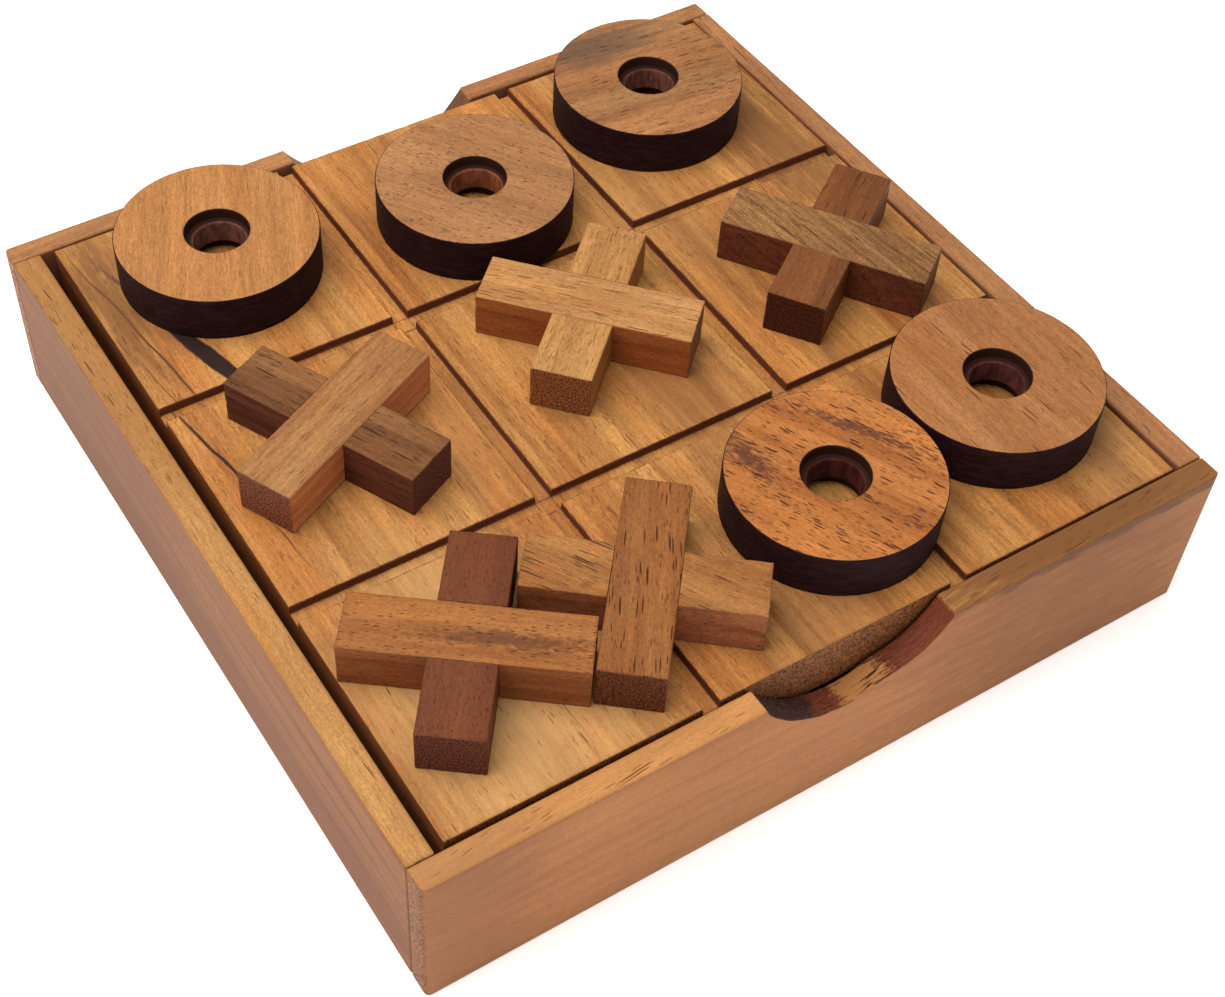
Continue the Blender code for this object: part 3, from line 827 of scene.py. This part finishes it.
def softLoop(corners, roll, spacing):
    # a closed outline: each corner becomes an arc of the given radius and each side is divided evenly
    corners = [np.asarray(corner, float) for corner in corners]
    loop = []
    for index, corner in enumerate(corners):
        before, after = corners[index - 1], corners[(index + 1) % len(corners)]
        back = (before - corner) / np.linalg.norm(before - corner)
        ahead = (after - corner) / np.linalg.norm(after - corner)
        start, centre = corner + back * roll, corner + (back + ahead) * roll
        steps = np.linspace(0, math.pi / 2, 5)[:, None]
        loop.append(centre + (start - centre) * np.cos(steps) - back * roll * np.sin(steps))
        leg = np.linalg.norm(after - corner) - 2 * roll
        count = max(2, int(leg / spacing))
        along = np.linspace(0, 1, count + 1)[1:-1, None]
        loop.append(corner + ahead * roll + along * ahead * leg)
    return np.concatenate(loop)


def revolved(profile, steps):
    # a closed profile of radius and height, carried round the vertical axis: (r cos a, r sin a, z)
    angle = np.linspace(0, 2 * math.pi, steps, endpoint=False)
    radius, height = profile[:, 0][:, None], profile[:, 1][:, None]
    points = np.stack([radius * np.cos(angle), radius * np.sin(angle), height + 0 * angle], axis=-1)
    index = np.arange(points[..., 0].size).reshape(points.shape[:2])
    down, onward = np.roll(index, -1, axis=0), np.roll(index, -1, axis=1)
    both = np.roll(down, -1, axis=1)
    return points.reshape(-1, 3), np.stack([index, onward, both, down], axis=-1).reshape(-1, 4)


def makeRing(name, settings):
    middle, low, high = middleOf(name)
    wood = settings["woods"][name]
    outer = (high[0] - low[0]) / 2
    top, bottom = (high[2] - low[2]) / 2, -(high[2] - low[2]) / 2 - settings["sink"]
    hole, web, bore = settings["hole"], settings["web"], settings["boreDepth"]
    corners = [(hole, top), (outer, top), (outer, bottom), (hole, bottom),
               (hole, bottom + bore), (web, bottom + bore), (web, top - bore), (hole, top - bore)]
    profile = softLoop(corners, settings["roll"], settings["spacing"])
    points, quads = revolved(profile, settings["steps"])
    radius, angle = np.hypot(points[:, 0], points[:, 1]), np.arctan2(points[:, 1], points[:, 0])
    seed = wood["seed"]
    flat = smoothStep(top - 0.2 * mm, top - 0.04 * mm, np.abs(points[:, 2]))
    rim = smoothStep(outer - 0.25 * mm, outer - 0.08 * mm, radius)
    side = np.maximum(smoothStep(outer - 0.5 * mm, outer - 0.3 * mm, radius) * (1 - flat), rim)
    inside = 1 - smoothStep(hole + 0.06 * mm, hole + 0.2 * mm, radius)
    deep = smoothStep(bore - 0.1 * mm, bore + 0.1 * mm, top - points[:, 2])
    webbed = (1 - smoothStep(web + 0.1 * mm, web + 0.3 * mm, radius)) * deep
    unrolled = np.column_stack([angle * 0.4, points[:, 2] * 900, 0 * angle]) * 0.16
    scored = sineNoise(unrolled, 1, seed) * 0.02 * mm
    worn = 0.05 * mm * smoothStep(0.3, 0.8, sineNoise(points, 500, seed, 12))
    grow = 1 + (scored * side * (1 - flat) - worn * rim) / outer
    points = points * np.column_stack([grow, grow, np.ones_like(grow)])
    narrow = 1 - smoothStep(web + 0.1 * mm, hole - 0.1 * mm, radius)
    points = points + narrow[:, None] * np.array(settings["webShift"])
    marks = {"side": side, "hole": inside, "web": webbed, "edge": 0 * side}
    piece = makePiece(name + "_wood", points + middle, quads, name, [name], marks)
    made = woodMaterial(name + "Wood", middle, wood["turn"], wood)
    tree = made["tree"]
    surface = useGroup(
        tree, turnedGroup, colour=made["colour"], vector=made["object"],
        side=raggedMark(made, "side", 700, 0.5, 0.35, 0.75),
        hole=attributeOf(tree, "hole"), web=attributeOf(tree, "web"),
        char=settings["char"], ember=settings["ember"], soot=settings["soot"],
        webDark=scaledColour(wood["web"], 1), webPale=scaledColour(wood["web"], 1.8))
    tree.links.new(surface["Colour"], made["shader"].inputs["Base Color"])
    tree.links.new(calc(tree, "MULTIPLY_ADD", surface["Burnt"], -0.09, 0.14),
                   made["shader"].inputs["Specular IOR Level"])
    piece.data.materials.append(made["material"])


for name in ringSettings["woods"]:
    makeRing(name, ringSettings)
print("made the rings")


# ---- the crosses ----

crossSettings = {
    "length": 35.1 * mm,
    "width": 9.8 * mm,
    "thickness": 7.7 * mm,
    "roll": 0.2 * mm,
    "spacing": (0.45 * mm, 0.45 * mm, 0.5 * mm),
    "lapGap": 0.05 * mm,
    "sink": 0.25 * mm,
    "boardTurn": -0.25,  # in degrees, since the crosses lie on the turned board
    "turns": {"cross_1": 25.8, "cross_2": 132.9, "cross_3": 124.8, "cross_4": 50.4, "cross_5": 142.4},
    "woods": {
        "cross_1_over": {"tone": (0.272, 0.136, 0.05),
            "pores": ((1.6, 0.13, 0.5, 1.2, 0.7), (3, 0.2, 0.1, 0.6, 0.6)), "poreTint": (0.36, 0.28, 0.28),
            "endTint": (0.46, 0.3, 0.38), "sideTint": (1.78, 1.36, 1.5)},
        "cross_1_under": {"tone": (0.14, 0.06, 0.02), "contrast": 1.4, "streak": 1.8,
            "sideTint": (0.55, 0.38, 0.6), "endTint": (0.56, 0.39, 0.88), "poreTint": (0.16, 0.14, 0.18),
            "pores": ((3.4, 0.19, 0.55, 1, 0.9), (1.2, 0.12, 0.5, 0.8, 0.75))},
        "cross_2_over": {"tone": (0.36, 0.185, 0.066), "contrast": 0.9, "sideTint": (0.74, 0.44, 0.34),
            "poreTint": (0.26, 0.18, 0.16), "pores": ((3.2, 0.14, 0.66, 1, 0.85), (1.2, 0.1, 0.5, 0.8, 0.6))},
        "cross_2_under": {"tone": (0.345, 0.182, 0.062), "contrast": 0.8, "sideTint": (0.75, 0.6, 0.5),
            "endTint": (0.53, 0.32, 0.35), "poreTint": (0.3, 0.22, 0.2),
            "pores": ((2.2, 0.12, 0.55, 1, 0.8), (1, 0.09, 0.5, 0.8, 0.6))},
        "cross_3_over": {"tone": (0.205, 0.1, 0.034), "contrast": 1.1, "ringWidth": 1.1, "ringDepth": 0.4,
            "lineDepth": 0.75, "heart": (0, 19, -9), "ringBend": 9, "slant": -27, "fuzz": 1.7, "fibre": 1.1,
            "blush": (0.92, 0.97, 1), "sideTint": (0.55, 0.3, 0.38), "poreTint": (0.14, 0.11, 0.12),
            "pores": ((4, 0.2, 0.55, 0.9, 0.85), (1.6, 0.12, 0.5, 0.9, 0.7))},
        "cross_3_under": {"tone": (0.142, 0.05, 0.014), "endTint": (0.32, 0.2, 0.32),
            "pores": ((2.2, 0.16, 0.5, 0.8, 0.7),)},
        "cross_4_over": {"tone": (0.205, 0.08, 0.022), "poreTint": (0.16, 0.1, 0.12), "streak": 1.2,
            "slant": 4, "endTint": (0.42, 0.28, 0.4),
            "pores": ((2.6, 0.19, 0.55, 1.4, 0.9), (1.2, 0.12, 0.5, 0.8, 0.7))},
        "cross_4_under": {"tone": (0.262, 0.115, 0.034), "poreTint": (0.16, 0.11, 0.11), "slant": -19,
            "sideTint": (0.98, 0.79, 1.1), "pores": ((4, 0.16, 0.55, 0.8, 0.92), (1.4, 0.12, 0.4, 0.8, 0.6))},
        "cross_5_over": {"tone": (0.25, 0.098, 0.026),
            "pores": ((0.7, 0.16, 0.5, 1, 0.75),), "edgeWear": 0.8, "sideTint": (0.86, 0.74, 1),
            "stainsAndShading": ((-6, 0.8, 26, 3.6, 0, (0.075, 0.027, 0.012), 0.65,
            {"ragged": (0.9, 1.4, 1.4), "rough": 3}),)},
        "cross_5_under": {"tone": (0.118, 0.034, 0.0115), "contrast": 0.5,
            "endTint": (0.66, 0.62, 1), "poreTint": (0.4, 0.3, 0.3), "pores": ((0.6, 0.14, 0.5, 0.7, 0.7),)},
    },
}


def makeBar(cross, word, settings, seed):
    node = cross + "_" + word
    middle, low, high = middleOf(cross + "_over", cross + "_under")
    wood = {**settings["woods"][node], "seed": seed}
    turn = settings["turns"][cross] + settings["boardTurn"] + (0 if word == "over" else 90)
    size = np.array([settings["length"], settings["width"], settings["thickness"]])
    reach = settings["width"] / 2 + settings["lapGap"]
    stepPlaces = np.array([-0.3, -0.1, -0.02, 0.02, 0.1, 0.3]) * mm
    extra = np.concatenate([reach + stepPlaces, -reach + stepPlaces])
    points, quads, sharp, edgeDistance = rolledBlock(size, settings["roll"], settings["spacing"], extra)
    points = chipEdges(wobble(points, seed, 0.03 * mm), edgeDistance, seed, 0.12 * mm, 650)
    half = size[2] / 2
    lap = 1 - smoothStep(reach - 0.02 * mm, reach + 0.02 * mm, np.abs(sharp[:, 0]))
    floor = (half - settings["lapGap"] / 2) / size[2]
    points[:, 2] = -half + (points[:, 2] + half) * (1 - lap * (1 - floor))
    if word == "over":
        points = points * np.array([1, -1, -1])
    points[:, 2] *= np.where(points[:, 2] < 0, 1 + settings["sink"] / half, 1)
    points = turned(points, math.radians(turn)) + middle
    edge = 1 - smoothStep(0.05 * mm, 0.5 * mm, edgeDistance)
    piece = makePiece(node + "_bar", points, quads, cross, [node], {"edge": edge})
    piece.data.materials.append(woodMaterial(node + "Wood", middle, turn, wood)["material"])


seed = 30
for cross in crossSettings["turns"]:
    for word in ("over", "under"):
        makeBar(cross, word, crossSettings, seed)
        seed += 1
print("made the crosses")


# ---- floor, light and camera ----

studioSettings = {
    "floorColour": (0.93, 0.93, 0.93, 1),
    "floorRoughness": 0.9,
    "floorGlow": 0.35,
    "floorReach": 2.5,
    "skyColour": (1, 0.97, 0.94, 1),
    "skyStrength": 0.7,
    "softbox": {"place": (-0.2, 0.07, 0.56), "aim": (0, 0, 0), "size": 0.55, "power": 4.5,
                "colour": (1, 0.97, 0.92)},
}

cameraSettings = {
    "place": (-0.12652, -0.1807, 0.25086),
    "aim": (-0.02184, -0.02427, 0.0292),
    "roll": math.radians(2.485),
    "lens": 57.47,
    "shift": (0.0491, 0.0092),
}


def lookingMatrix(place, aim, roll=0):
    place, aim = Vector(place), Vector(aim)
    looking = (aim - place).to_track_quat("-Z", "Y").to_matrix().to_4x4()
    return Matrix.Translation(place) @ looking @ Matrix.Rotation(roll, 4, "Z")


def makeStudio(settings):
    mesh = bpy.data.meshes.new("floor")
    reach = settings["floorReach"]
    mesh.from_pydata([(-reach, -reach, 0), (reach, -reach, 0), (reach, reach, 0), (-reach, reach, 0)],
                     [], [(0, 1, 2, 3)])
    floor = addObject("floor", mesh)
    material = bpy.data.materials.new("floorPaper")
    material.use_nodes = True
    paper = material.node_tree.nodes["Principled BSDF"].inputs
    paper["Base Color"].default_value = settings["floorColour"]
    paper["Roughness"].default_value = settings["floorRoughness"]
    paper["Emission Color"].default_value = settings["floorColour"]
    paper["Emission Strength"].default_value = settings["floorGlow"]
    floor.data.materials.append(material)
    world = bpy.data.worlds.new("studio")
    bpy.context.scene.world = world
    world.use_nodes = True
    sky = world.node_tree.nodes["Background"].inputs
    sky["Color"].default_value = settings["skyColour"]
    sky["Strength"].default_value = settings["skyStrength"]
    box = settings["softbox"]
    light = bpy.data.lights.new("softbox", "AREA")
    light.size = box["size"]
    light.energy = box["power"]
    light.color = box["colour"]
    addObject("softbox", light).matrix_world = lookingMatrix(box["place"], box["aim"])


def makeCamera(settings):
    data = bpy.data.cameras.new("camera")
    data.lens = settings["lens"]
    data.sensor_width = 36
    data.shift_x, data.shift_y = settings["shift"]
    data.clip_start = 0.01
    camera = addObject("camera", data)
    camera.matrix_world = lookingMatrix(settings["place"], settings["aim"], settings["roll"])
    bpy.context.scene.camera = camera


makeStudio(studioSettings)
makeCamera(cameraSettings)
bpy.context.scene.view_settings.view_transform = "Standard"
print("made the studio")
